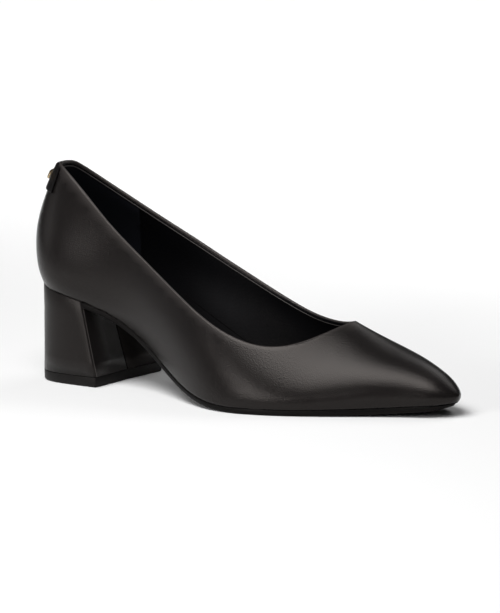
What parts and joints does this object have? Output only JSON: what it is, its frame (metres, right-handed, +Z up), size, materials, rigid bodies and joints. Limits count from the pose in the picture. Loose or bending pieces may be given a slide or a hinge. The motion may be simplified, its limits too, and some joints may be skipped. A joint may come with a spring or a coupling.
{
  "type": "block heel pump",
  "caption": "Slip-on dress pump with a pointed toe, low-cut topline, covered block heel and thin sole, standing empty.",
  "frame": {"origin": "on the floor under the middle of the shoe's box", "axes": "+X towards the toe, +Y towards the inner (big toe) side, +Z up"},
  "size_m": [0.2516, 0.0798, 0.1091],
  "materials": {
    "upper_leather": "smooth semi-matt black calf",
    "sole_resin": "satin black",
    "insole_lining": "matt black lining",
    "sock_lining": "soft black lining",
    "heel_cover": "smooth semi-matt black cover",
    "lift_rubber": "matt black",
    "tab_leather": "satin black",
    "bar_metal": "polished pale gold plate"
  },
  "bodies": {
    "root": {"upper": "upper_leather", "outsole": "sole_resin", "insole": "insole_lining", "sock": "sock_lining", "heel": "heel_cover", "top_lift": "lift_rubber", "back_tab": "tab_leather", "back_bar": "bar_metal"}
  },
  "joints": []
}
